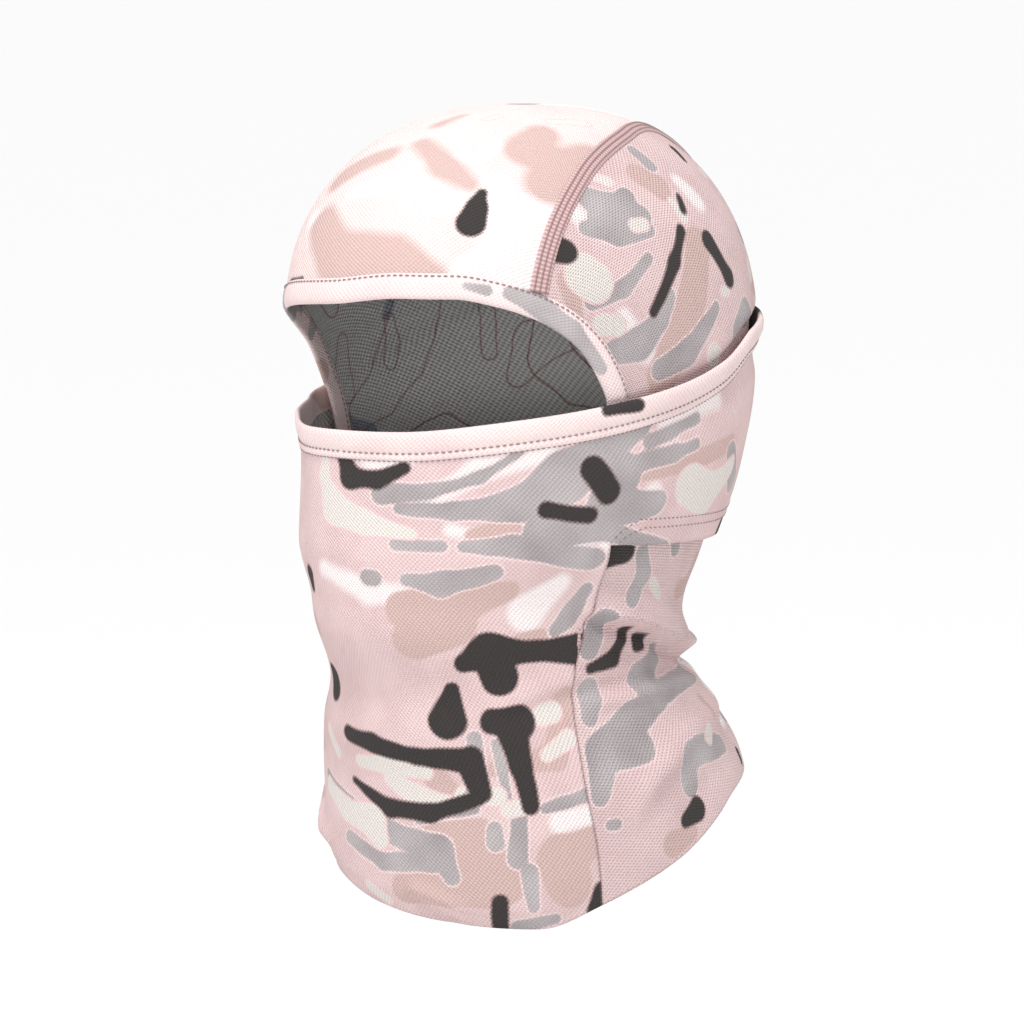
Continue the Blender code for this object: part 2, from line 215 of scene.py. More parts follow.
# ---------------------------------------------------------------- folds of the cloth
MM_PER_DEGREE = 1.22  # what one degree of side angle counts for in a fold


def bump(t, low, high):
    t = np.clip((t - low) / (high - low), 0, 1)
    return t * t * (3 - 2 * t)


def fold(side, z, path, width, ridge=0.0, pinch=0.0, ends=0.25):
    """Height of a fold along a path of (side angle, height in mm): a ridge, or cloth pinched under a lip."""
    q = np.stack([side * MM_PER_DEGREE, z * 1000], -1)
    path = np.array(path, float) * (MM_PER_DEGREE, 1)
    lengths = np.linalg.norm(np.diff(path, axis=0), axis=1)
    best, signed, place = np.full(side.shape, 1e9), np.zeros(side.shape), np.zeros(side.shape)
    walked = 0.0
    for a, b, length in zip(path[:-1], path[1:], lengths):
        run = (b - a) / length
        s = np.clip((q - a) @ run, 0, length)
        gap = q - (a + s[..., None] * run)
        d = np.linalg.norm(gap, axis=-1)
        nearer = d < best
        cross = run[0] * gap[..., 1] - run[1] * gap[..., 0]
        best = np.where(nearer, d, best)
        signed = np.where(nearer, np.sign(cross) * d, signed)
        place = np.where(nearer, (walked + s) / lengths.sum(), place)
        walked += length
    taper = np.where(place <= 0, 0, bump(place, 0, ends) * bump(1 - place, 0, ends))
    w = best / width
    return taper * 0.001 * (ridge * np.exp(-w * w) + pinch * signed / width * np.exp(0.5 - 0.5 * w * w))


def waves(p, size, seed):
    """Gentle unevenness, about -1 to 1, with features of the given size in metres."""
    rng = np.random.default_rng(seed)
    total = 0
    for _ in range(7):
        way = rng.normal(size=3)
        way *= rng.uniform(0.6, 1.3) * 2 * np.pi / size / np.linalg.norm(way)
        total = total + np.sin(p @ way + rng.uniform(0, 6.3))
    return total / 4


top_edge, band_hem, rim_level = level(MASK_TOP), level(BAND_HEM), level(RIM)


# Folds below the ear band: path of (side angle, height in mm), width in mm, shape, and whether it fades out
# under the band.
NECK_FOLDS = [
    ([(68, -96), (80, -101), (92, -107), (108, -114), (132, -122.5), (165, -124)], 2.5,
     {"pinch": 3.8, "ends": 0.16}, True),
    ([(70, -90), (84, -95), (97, -100), (112, -107), (134, -116), (165, -117)], 5.5,
     {"ridge": 3.0, "ends": 0.16}, False),
    ([(72, -110), (86, -115), (100, -119), (120, -124)], 6.5, {"ridge": -3.0}, False),
    ([(62, -129), (78, -128), (94, -127), (112, -128), (140, -131)], 2.8, {"pinch": -2.0}, False),
    ([(150, -139), (128, -146), (110, -148), (98, -153), (84, -163), (72, -182)], 5.0,
     {"ridge": 2.6, "pinch": -1.2}, False),
    ([(150, -152), (118, -160), (100, -170), (88, -190)], 6.0, {"ridge": -1.6}, False),
    ([(40, -131), (54, -127), (68, -122), (76, -121)], 3.6, {"ridge": 1.1, "pinch": 0.7}, False),
    ([(10, -197), (18, -200), (24, -203), (31, -208)], 2.4, {"ridge": 0.8, "pinch": 1.5}, False),
    ([(-62, -172), (-46, -181), (-33, -187), (-20, -190)], 3.2, {"pinch": 2.6}, False),
    ([(-80, -98), (-92, -104), (-110, -110), (-140, -118)], 5.5, {"pinch": 3.6}, True),
    ([(-150, -140), (-112, -148), (-90, -160), (-78, -176)], 5.0, {"ridge": 2.2}, False),
    ([(58, -200), (50, -180), (52, -168)], 4.5, {"ridge": 0.7}, False),
]


def relief(p, layer):
    """Height of the worn cloth's shape over the form, for the hood, the neck or the mask and ear band."""
    side, z = side_of(p), p[..., 2]
    turn = np.abs(side)
    low = bump(-z, 0.072, 0.092)
    h = 0.0005 * waves(p, 0.055, 3) * (0.4 + 0.6 * low)
    if layer != "hood":
        for path, width, shape, under_band in NECK_FOLDS:
            h = h + fold(side, z, path, width, **shape) * (low if under_band else 1)
        # The rim rolls in at the front, the cloth fills out low on the left, and two hollows on the right.
        h = h - 0.0040 * np.exp(-((z - rim_level(side)) / 0.0050) ** 2) * (1 - bump(turn, 40, 75))
        h = h + 0.0015 * bump(-z, 0.150, 0.180) * bump(side, 70, 95)
        h = h - 0.0028 * np.exp(-((side + 50) / 24) ** 2 - ((z + 0.106) / 0.024) ** 2)
        h = h - 0.0040 * np.exp(-((side + 50) / 22) ** 2 - ((z + 0.182) / 0.020) ** 2)
    if layer == "band":
        d = z - top_edge(side)
        h = h - 0.0046 * bump(-side, 10, 38) * (1 - bump(-side, 56, 70)) * bump(z, -0.085, -0.034)
        h = h - 0.0022 * np.exp(-((d + 0.0125) / 0.006) ** 2) * bump(turn, 60, 105)
        h = h + 0.0010 * np.exp(-((d + 0.030) / 0.014) ** 2) * bump(turn, 80, 120)
        h = h + fold(side, z, [(64, -36), (76, -44), (92, -58)], 4.5, ridge=0.9)
        h = h + fold(side, z, [(78, -30), (96, -40), (118, -52)], 5.0, ridge=0.8)
        h = h - 0.0009 * np.exp(-((turn - 71) / 2.2) ** 2) * bump(-z, 0.052, 0.064)
    if layer == "hood":
        h = h - 0.0017 * bump(z, 0.025, 0.075)
        d = z - top_edge(side)
        above = np.clip(d, 0, None)
        puff = (1 - np.exp(-(above / 0.0035) ** 2)) * np.exp(-(above / 0.024) ** 2)
        h = h + 0.0024 * puff * bump(turn, 76, 108)
        h = np.where(d < 0.001, h * bump(-z, 0.2, 0.1) - 0.0004, h)
    return h


def place(p, height, layer):
    return p + normal(p) * (np.asarray(height) + relief(p, layer))[..., None]


# ---------------------------------------------------------------- the printed pattern
# Shapes are strokes of (side angle, height in mm, radius in mm) on the head form.
PRINT = {
    "crown": {
        "dark": [[(38, 57, 1.5), (37, 52, 3.5), (36, 47, 5.5)], [(-18, 23, 1.5), (-27, 19, 4)]],
        "cream": [[(66, 81, 2), (84, 80, 2.5)], [(27, 82, 1.5), (33, 83, 1.5)]],
        "tan": [
            [(58, 77, 7), (52, 72, 9), (62, 66, 10), (74, 68, 8), (57, 60, 9)],
            [(6, 74, 4), (24, 66, 6), (34, 60, 3.5)], [(-16, 44, 8), (-4, 34, 10), (16, 34, 9), (28, 28, 5)],
            [(-24, 60, 7), (-6, 70, 5)], [(4, 83, 2), (0, 80, 3)],
        ],
        "light": [
            [(34, 56, 3.5), (42, 60, 4.5), (45, 42, 9), (52, 36, 11), (36, 29, 6)],
            [(54, 50, 8), (58, 40, 6), (50, 28, 5)], [(34, 69, 2), (41, 74, 2)],
            [(20, 60, 3), (28, 70, 2), (16, 68, 2.5)], [(20, 60, 3), (28, 52, 3)],
            [(-8, 56, 3), (4, 60, 3.5), (14, 56, 2.5)], [(-26, 45, 3), (-20, 46, 2)],
        ],
    },
    "crown_left": {
        "dark": [
            [(55, 38, 5), (60, 36, 4.5)], [(95, 41, 2), (90, 30, 2.5), (82, 13, 2)],
            [(100, 53, 1.5), (99, 48, 2)], [(123, 69, 2), (121, 65, 1.5)],
            [(105, 36, 4), (108, 29, 2.5), (111, 22, 4)],
        ],
        "cream": [
            [(64, 28, 7.5), (67, 25, 7.5)], [(68, 10, 4), (72, 9, 4)], [(80, 44, 2.5), (83, 44, 2.5)],
            [(96, 51, 2), (98, 46, 3)], [(107, 17, 2), (109, 17, 2)], [(101, -4, 4), (105, -8, 3)],
            [(72, 62, 2), (76, 60, 2.5)],
        ],
        "grey": [
            [(64, 58, 3), (70, 53, 5), (76, 50, 6.5), (83, 47, 4.5)], [(66, 44, 3), (74, 42, 5), (84, 42, 3)],
            [(70, 46, 5), (80, 54, 4)], [(94, 70, 3), (96, 65, 3.5)],
            [(72, 0, 5), (78, 2, 6), (84, 10, 4), (87, 18, 3)], [(66, 18, 3), (74, 22, 3), (82, 32, 2)],
            [(84, -8, 4), (92, -3, 5), (103, 12, 2.5)], [(112, 2, 4), (118, 8, 5), (124, 4, 3)],
        ],
        "tan": [[(88, 62, 5), (94, 57, 6)], [(60, 26, 4), (62, 14, 3)]],
        "light": [
            [(62, 52, 3), (66, 46, 3)], [(88, 2, 3), (94, 10, 4), (98, 22, 3)], [(74, 12, 3), (80, -2, 3)],
            [(104, 58, 3), (108, 50, 4)],
        ],
    },
    "crown_right": {
        "dark": [
            [(-95, 4, 2.5), (-94, 0, 2.5)], [(-66, -33, 3), (-75, -39, 4), (-86, -44, 3)],
            [(-120, 44, 3), (-116, 32, 3.5), (-112, 24, 2.5)], [(-82, 30, 2), (-80, 20, 3), (-84, 12, 2.5)],
        ],
        "cream": [
            [(-139, -6, 7), (-140, -20, 9), (-148, -30, 8), (-160, -36, 6)],
            [(-100, -50, 5), (-110, -46, 5.5), (-117, -50, 4)], [(-70, 12, 4), (-74, 6, 4.5)],
        ],
        "grey": [
            [(-122, 6, 3), (-123, -17, 3.5)], [(-95, -2, 3), (-96, -10, 3), (-94, -18, 3)],
            [(-78, -8, 3.5), (-77, -18, 4.5), (-78, -28, 4)],
            [(-66, 34, 3), (-76, 46, 5), (-92, 50, 6), (-100, 42, 4)],
            [(-130, 30, 4), (-142, 24, 6), (-154, 28, 5)],
        ],
        "tan": [
            [(-103, 2, 12), (-98, -16, 11), (-90, -30, 9), (-82, -36, 7)],
            [(-150, 6, 5), (-160, 12, 6), (-166, -4, 5)], [(-90, 64, 5), (-110, 62, 6)],
        ],
    },
    "brow": {
        "grey": [[(46, 22, 2), (52, 19, 4), (61, 8, 3.5), (68, -6, 2)], [(36, 25, 1.5), (41, 23, 2)]],
    },
    "binding": {
        "dark": [[(68, -20, 2), (76, -19, 2)]],
    },
    "mask": {
        "dark": [
            [(1, -38, 3), (3, -45, 3.5), (11, -45, 3), (19, -40, 2)], [(65, -41, 4.5), (70, -50, 4.5)],
            [(55, -55, 3), (66, -58, 3)], [(123, -76, 2), (125, -72, 3.5)], [(-20, -84, 3), (-20, -88, 2)],
            [(-20, -122, 4), (-20, -128, 4)],
            [(38, -112, 3.5), (45, -108, 7), (58, -109, 3.5), (70, -110, 5.5)],
            [(46, -108, 7), (47, -118, 6.5)], [(32, -122, 2.5), (30, -133, 7)],
            [(-8, -142, 3), (3, -144, 3.5), (18, -147, 3), (33, -148, 4.5)], [(34, -148, 5), (35, -160, 3.5)],
            [(-8, -160, 1), (7, -168, 3), (20, -168, 3), (34, -162, 2.5)], [(43, -134, 4.5), (50, -135, 6.5)],
            [(48, -137, 6), (48, -150, 3.5), (48, -165, 3)], [(39, -200, 3), (39, -215, 3)],
            [(67, -198, 4), (65, -205, 3)],
        ],
        "cream": [
            [(-6, -36, 2), (-7, -46, 2.5), (-3, -57, 6), (8, -61, 4.5), (22, -64, 2)],
            [(95, -51, 8), (103, -56, 8), (114, -48, 4.5)], [(-4, -152, 2.5), (8, -151, 4), (20, -153, 2.5)],
            [(8, -157, 3.5), (17, -163, 4), (25, -163, 2)], [(-23, -144, 2.5), (-17, -151, 2.5)],
            [(-25, -166, 3), (-12, -172, 4), (0, -174, 6), (3, -180, 4)], [(30, -161, 3.5), (39, -161, 3.5)],
            [(42, -166, 3), (46, -165, 3)], [(57, -133, 4), (60, -132, 4)],
            [(56, -147, 2.5), (63, -142, 3.5)], [(-2, -199, 2.5), (4, -203, 2.5)],
        ],
        "grey": [
            [(13, -50, 4), (26, -48, 2.5), (38, -43, 2), (48, -33, 1.5)],
            [(18, -55, 2), (32, -55, 3), (48, -53, 6), (58, -44, 10), (68, -34, 7), (78, -27, 4)],
            [(54, -63, 6), (70, -64, 4), (90, -73, 2)], [(72, -44, 9), (70, -56, 8), (84, -56, 5)],
            [(78, -40, 3.5), (88, -38, 3), (95, -36, 2)], [(80, -33, 3), (96, -27, 2)],
            [(112, -42, 4), (120, -54, 5)], [(18, -68, 2.5), (30, -68, 2)],
            [(36, -68, 2), (48, -68, 4), (70, -75, 4.5)], [(22, -81, 2), (32, -82, 4.5), (45, -78, 3)],
            [(10, -81, 3), (12, -81, 3)], [(71, -88, 3), (68, -97, 4.5), (64, -102, 2.5)],
            [(37, -140, 2.5), (36, -154, 2)], [(43, -142, 2), (42, -162, 1.5)],
            [(45, -166, 3), (44, -184, 3.5)], [(47, -189, 3), (48, -202, 2)],
            [(38, -173, 2.5), (38, -178, 3)], [(52, -166, 2), (65, -162, 3)],
            [(-27, -162, 2), (-10, -170, 3), (8, -177, 4), (22, -181, 5), (26, -191, 3)],
            [(20, -186, 4), (4, -188, 3), (-10, -182, 2.5)], [(16, -171, 1.5), (33, -166, 1.5)],
            [(44, -210, 3), (54, -207, 2)],
        ],
        "tan": [
            [(38, -64, 3), (45, -61, 3.5), (52, -62, 2)], [(78, -44, 3), (95, -42, 4), (111, -38, 3)],
            [(22, -92, 7), (34, -91, 10), (50, -85, 4)], [(26, -102, 9), (38, -98, 7)],
            [(40, -151, 3), (58, -148, 5), (64, -128, 5)], [(32, -180, 8), (38, -191, 11), (12, -197, 6)],
            [(64, -180, 6), (55, -184, 8), (58, -194, 9)], [(23, -155, 5), (27, -159, 3)],
            [(17, -174, 2.5), (34, -173, 4)], [(60, -104, 3), (54, -104, 2.5)],
        ],
        "light": [
            [(20, -34, 4), (10, -36, 5)], [(26, -51, 2.5), (38, -40, 4), (54, -34, 3)],
            [(32, -62, 1.5), (58, -67, 2), (74, -70, 2)], [(84, -26, 3), (104, -22, 3)],
            [(82, -52, 4), (81, -56, 3)], [(-8, -80, 2.5), (10, -86, 4), (28, -87, 2.5)],
            [(56, -94, 7), (63, -84, 4)], [(56, -171, 4), (65, -169, 3)],
        ],
    },
    "neck": {
        "dark": [
            [(76, -75, 5.5), (80, -75, 5)], [(91, -112, 3), (94, -112, 3)],
            [(95, -178, 2.5), (100, -175, 4.5)], [(133, -164, 2), (133, -167, 2)],
            [(73, -118, 2), (82, -116, 2.5), (86, -107, 2.5)],
        ],
        "cream": [
            [(92, -89, 2.5), (95, -93, 2.5)], [(127, -116, 2), (129, -119, 2)],
            [(113, -150, 3), (115, -152, 3)],
        ],
        "grey": [
            [(86, -76, 3), (88, -85, 3.5), (84, -93, 3)], [(98, -70, 2.5), (101, -78, 3)],
            [(77, -100, 5), (74, -110, 5)], [(72, -126, 5), (71, -135, 4)],
            [(104, -118, 4), (90, -126, 6), (96, -133, 5), (84, -139, 7), (72, -148, 7), (68, -163, 4)],
            [(96, -132, 5), (122, -129, 4)], [(84, -148, 7), (72, -150, 6)],
            [(100, -156, 6), (99, -165, 5.5)], [(104, -155, 6), (123, -157, 4)],
            [(70, -174, 2), (72, -174, 2)],
        ],
        "tan": [
            [(112, -95, 4), (122, -95, 4), (124, -87, 4.5)], [(90, -185, 5), (97, -183, 3)],
            [(120, -146, 2), (120, -139, 2)],
        ],
    },
}
LAYERS = ("dark", "cream", "grey", "tan", "light")


BLUR = 0.8  # mm, how softly the parts of one stroke run into each other


def strokes_field(p, strokes):
    """Signed distance in mm to the nearest stroke, negative inside."""
    total = np.full(p.shape[:-1], FAR)
    for stroke in strokes:
        stroke = np.array(stroke, float)
        points = around(stroke[:, 0], stroke[:, 1] / 1000)
        middle = points.mean(0)
        reach = 0.001 * stroke[:, 2].max() + 0.05 + np.linalg.norm(points - middle, axis=-1).max()
        close = np.linalg.norm(p - middle, axis=-1) < reach
        q = p[close]
        parts = np.zeros(len(q))
        for a, b, ra, rb in zip(points[:-1], points[1:], stroke[:-1, 2], stroke[1:, 2]):
            ab = b - a
            s = np.clip((q - a) @ ab / max(ab @ ab, 1e-12), 0, 1)
            d = np.linalg.norm(q - (a + s[:, None] * ab), axis=-1) * 1000 - (ra + s * (rb - ra))
            parts += np.exp(-np.clip(d, -20, FAR) / BLUR)
        field = np.full(p.shape[:-1], FAR)
        field[close] = -BLUR * np.log(np.maximum(parts, 1e-30))
        total = np.minimum(total, field)
    return total


def scattered(layer, seed, count, sides, heights, size):
    """Strokes in the style of the print, for the parts of the garment placed by no list."""
    rng = np.random.default_rng(seed)
    made = []
    for _ in range(count):
        side, z = rng.uniform(*sides), rng.uniform(*heights)
        heading = rng.uniform(-0.6, 0.6) + (np.pi / 2 if rng.random() < 0.3 else 0)
        radius = rng.uniform(*size)
        stroke = []
        for _ in range(rng.integers(2, 6) if layer != "cream" else rng.integers(2, 4)):
            thick = radius * rng.uniform(0.6, 1.35)
            stroke.append((side, z, thick))
            step = radius * rng.uniform(1.3, 2.6) if layer != "cream" else radius * rng.uniform(0.4, 1.1)
            side, z = side + step * np.cos(heading) / 1.3, z + step * np.sin(heading)
            heading += rng.normal() * 0.55
        made.append(stroke)
    return made


def print_fields(p, panel):
    """The layers of the print at points of the form, in mm from each one's edge."""
    wobble = 0.35 * waves(p, 0.014, 11) + 0.12 * waves(p, 0.007, 12)
    fields = {}
    for layer in LAYERS:
        strokes = PRINT[panel].get(layer, [])
        fields[layer] = strokes_field(p, strokes) + wobble if strokes else np.full(p.shape[:-1], FAR)
    return fields


# Parts of each panel that no list above covers: side angles, heights in mm, seed.
FILLS = [("crown", (100, 262), (-58, 78), 1), ("crown_left", (128, 176), (-58, 70), 2),
         ("crown_right", (-178, -154), (-60, 60), 3), ("crown_right", (-100, -60), (54, 76), 12),
         ("mask", (-176, -50), (-68, 0), 4),
         ("mask", (132, 176), (-68, 0), 5), ("mask", (-70, -50), (-205, -78), 6),
         ("neck", (138, 290), (-195, -70), 7), ("binding", (-180, -80), (-30, 8), 8),
         ("binding", (126, 180), (-24, 8), 9), ("brow", (-72, -30), (-64, 22), 10),
         ("crown_left", (74, 128), (-60, -16), 11)]
# Strokes for each square mm of a part, and their radius in mm.
STYLE = {"dark": (1 / 1300, (1.8, 4.4)), "cream": (1 / 900, (1.6, 3.4)), "grey": (1 / 700, (2.2, 5.5)),
         "tan": (1 / 800, (3.5, 8.0)), "light": (1 / 1500, (2.5, 6.0))}
for panel, sides, heights, seed in FILLS:
    room = (sides[1] - sides[0]) * 1.25 * (heights[1] - heights[0])
    for number, (layer, (density, size)) in enumerate(STYLE.items()):
        count = max(1, round(room * density))
        PRINT[panel].setdefault(layer, [])
        PRINT[panel][layer] += scattered(layer, 100 * seed + number, count, sides, heights, size)


# ---------------------------------------------------------------- meshes
def arc_uv(p):
    """Distances over a grid of points in metres: along its rows from the middle, and down its columns."""
    along = np.linalg.norm(np.diff(p, axis=1), axis=-1)
    u = np.concatenate([np.zeros((len(p), 1)), np.cumsum(along, 1)], 1)
    u -= u[:, u.shape[1] // 2][:, None]
    middle = p[:, p.shape[1] // 2]
    v = np.concatenate([[0], np.cumsum(np.linalg.norm(np.diff(middle, axis=0), axis=-1))])
    return np.stack([u, np.broadcast_to(v[:, None], u.shape)], -1)


def build(name, points, quads, uv, fields, materials, extra_faces=()):
    mesh = bpy.data.meshes.new(name)
    mesh.from_pydata([tuple(p) for p in points], [], [tuple(map(int, q)) for q in quads] + list(extra_faces))
    mesh.update()
    layer = mesh.uv_layers.new(name="weave")
    loops = np.zeros(len(mesh.loops), np.int32)
    mesh.loops.foreach_get("vertex_index", loops)
    layer.data.foreach_set("uv", (uv[loops] * 1000).astype(np.float32).ravel())
    for key, values in fields.items():
        mesh.attributes.new(key, "FLOAT", "POINT").data.foreach_set("value", values.astype(np.float32))
    mesh.polygons.foreach_set("use_smooth", np.ones(len(mesh.polygons), bool))
    for material in materials:
        mesh.materials.append(material)
    obj = bpy.data.objects.new(name, mesh)
    bpy.context.scene.collection.objects.link(obj)
    return obj


def grid_quads(rows, columns, start=0):
    i, j = np.meshgrid(np.arange(rows - 1), np.arange(columns - 1), indexing="ij")
    a = start + i * columns + j
    return np.stack([a, a + 1, a + columns + 1, a + columns], -1).reshape(-1, 4)


def cloth(name, patches, panel, layer, materials, thickness=CLOTH):
    """A panel of cloth with real thickness. Each patch is (grid on the form, height, uv).

    Edges that two patches share are joined.
    """
    bases = np.concatenate([p.reshape(-1, 3) for p, _, _ in patches])
    heights = np.concatenate([np.broadcast_to(h, p.shape[:2]).ravel() for p, h, _ in patches])
    uvs = np.concatenate([uv.reshape(-1, 2) for _, _, uv in patches])
    quads, start = [], 0
    for p, _, _ in patches:
        quads.append(grid_quads(*p.shape[:2], start))
        start += p.shape[0] * p.shape[1]
    quads = np.concatenate(quads)
    placed = place(bases, heights, layer)
    _, first, back = np.unique(np.round(placed, 6), axis=0, return_index=True, return_inverse=True)
    back = back.reshape(-1)
    quads = back[quads]
    base, placed, uvs = bases[first], placed[first], uvs[first]
    a, b, c = placed[quads[:, 0]], placed[quads[:, 1]], placed[quads[:, 2]]
    facing = (np.cross(b - a, c - b) * normal(base[quads[:, 0]])).sum()
    if facing < 0:
        quads = quads[:, ::-1]
    fields = print_fields(base, panel)
    # Distance to the neck's side seam, used to paint shade along its groove.
    fields["seam_shade_distance"] = seam_distance(base)
    obj = build(name, placed, quads, uvs, fields, materials)
    solid = obj.modifiers.new("thickness", "SOLIDIFY")
    solid.thickness, solid.offset, solid.use_even_offset = thickness, -1, False
    solid.material_offset = 1
    apply_modifiers(obj)
    return obj


def apply_modifiers(obj):
    graph = bpy.context.evaluated_depsgraph_get()
    mesh = bpy.data.meshes.new_from_object(obj.evaluated_get(graph))
    obj.modifiers.clear()
    obj.data = mesh
    return obj


def seam_distance(p):
    """Distance in mm to the side seam of the neck."""
    side, z = side_of(p), p[..., 2]
    gap = np.abs(np.abs(side) - neck_seam(np.minimum(z, -0.064))) * 1.15
    return np.where(z < -0.068, gap, FAR)


def travel(path, closed):
    """Direction of travel at each point of a path."""
    if closed:
        tangent = np.roll(path, -1, 0) - np.roll(path, 1, 0)
    else:
        tangent = np.gradient(path, axis=0)
    return tangent / np.linalg.norm(tangent, axis=1, keepdims=True)


def swept(name, path, profile, panel, layer, materials, closed=False, rows=None):
    """A closed profile of (distance across in metres, height) swept along a path on the head form."""
    across = np.cross(normal(path), travel(path, closed))
    across /= np.linalg.norm(across, axis=1, keepdims=True)
    profile = np.array(profile, float)
    ring = [snap(path + across * d) for d, _ in profile]
    base = np.stack(ring, 1)
    if closed:
        base = np.concatenate([base, base[:1]])
    base = np.concatenate([base, base[:, :1]], 1)
    height = np.concatenate([profile[:, 1], profile[:1, 1]])
    placed = place(base, np.broadcast_to(height, base.shape[:2]), layer)
    run = np.concatenate([[0], np.cumsum(np.linalg.norm(np.diff(base[:, 0], axis=0), axis=1))])
    outline = np.vstack([profile, profile[:1]])
    girth = np.concatenate([[0], np.cumsum(np.linalg.norm(np.diff(outline, axis=0), axis=1))])
    uv = np.stack(np.broadcast_arrays(run[:, None], girth[None]), -1)
    count, columns = base.shape[:2]
    quads = grid_quads(count, columns)
    flat = placed.reshape(-1, 3)
    outward = np.cross(flat[quads[:, 1]] - flat[quads[:, 0]], flat[quads[:, 2]] - flat[quads[:, 1]])
    middle = placed[:, :-1].mean(1)[(quads[:, 0] // columns)]
    if (outward * (flat[quads[:, 0]] - middle)).sum() < 0:
        quads = quads[:, ::-1]
    fields = print_fields(base.reshape(-1, 3), panel) if panel else {}
    fields["seam_shade_distance"] = np.full(len(flat), FAR)
    if rows is not None:
        fields["row"] = np.tile(rows, count)
    last = (count - 1) * columns
    caps = [] if closed else [tuple(range(columns - 1)), tuple(range(last, last + columns - 1))[::-1]]
    return joined(build(name, flat, quads, uv.reshape(-1, 2), fields, materials, caps))


def joined(obj):
    """Merges the points that lie on each other, so that the mesh is one closed skin."""
    mesh = bmesh.new()
    mesh.from_mesh(obj.data)
    bmesh.ops.remove_doubles(mesh, verts=mesh.verts, dist=1e-7)
    bmesh.ops.recalc_face_normals(mesh, faces=mesh.faces)
    mesh.to_mesh(obj.data)
    mesh.free()
    return obj


def rounded(half_width, bottom, top, count=14):
    """Profile of a flat strip with rounded edges."""
    turn = np.linspace(0, 2 * np.pi, count, endpoint=False)
    c, s = np.cos(turn), np.sin(turn)
    return np.column_stack([half_width * np.sign(c) * np.abs(c) ** 0.5,
                            (bottom + top) / 2 + (top - bottom) / 2 * np.sign(s) * np.abs(s) ** 0.7])


def stitches(name, paths, layer, material, across=0.0, height=0.001, pitch=0.0023, length=0.0017,
             thick=0.00024):
    """Rows of short sewn stitches along paths on the form."""
    points, quads, turn = [], [], np.linspace(0, 2 * np.pi, 6, endpoint=False)
    shape = [(-0.5, 0.25), (-0.28, 0.95), (0.0, 1.1), (0.28, 0.95), (0.5, 0.25)]
    for path in paths:
        side = np.cross(normal(path), travel(path, False))
        path = snap(path + side * across)
        run = np.concatenate([[0], np.cumsum(np.linalg.norm(np.diff(path, axis=0), axis=1))])
        centres = np.arange(pitch / 2, run[-1], pitch)
        at = np.stack([centres + s * length for s, _ in shape], 1)
        p = np.stack([np.interp(at, run, path[:, k]) for k in range(3)], -1)
        n = normal(p)
        sink = np.array([-0.0003, 0, 0.00008, 0, -0.0003])
        q = place(p, height + sink[None] + 0 * at, layer)
        ahead = np.gradient(q, axis=1)
        ahead /= np.linalg.norm(ahead, axis=-1, keepdims=True)
        wide = np.cross(n, ahead)
        radius = thick * np.array([r for _, r in shape])[None, :, None, None]
        ring = (q[:, :, None] + radius * (np.cos(turn)[:, None] * wide[:, :, None] * 1.25
                                          + np.sin(turn)[:, None] * n[:, :, None]))
        start = sum(len(x) for x in points)
        points.append(ring.reshape(-1, 3))
        for s in range(len(centres)):
            first = start + s * 30
            for a in range(4):
                for b in range(6):
                    quads.append((first + a * 6 + b, first + a * 6 + (b + 1) % 6,
                                  first + a * 6 + 6 + (b + 1) % 6, first + a * 6 + 6 + b))
            quads.append(tuple(range(first + 5, first - 1, -1)))
            quads.append(tuple(range(first + 24, first + 30)))
    points = np.concatenate(points)
    return build(name, points, [], np.zeros((len(points), 2)), {}, [material], quads)


# ---------------------------------------------------------------- materials
def srgb(red, green, blue):
    c = np.array([red, green, blue]) / 255
    return (*np.where(c <= 0.04045, c / 12.92, ((c + 0.055) / 1.055) ** 2.4).tolist(), 1.0)


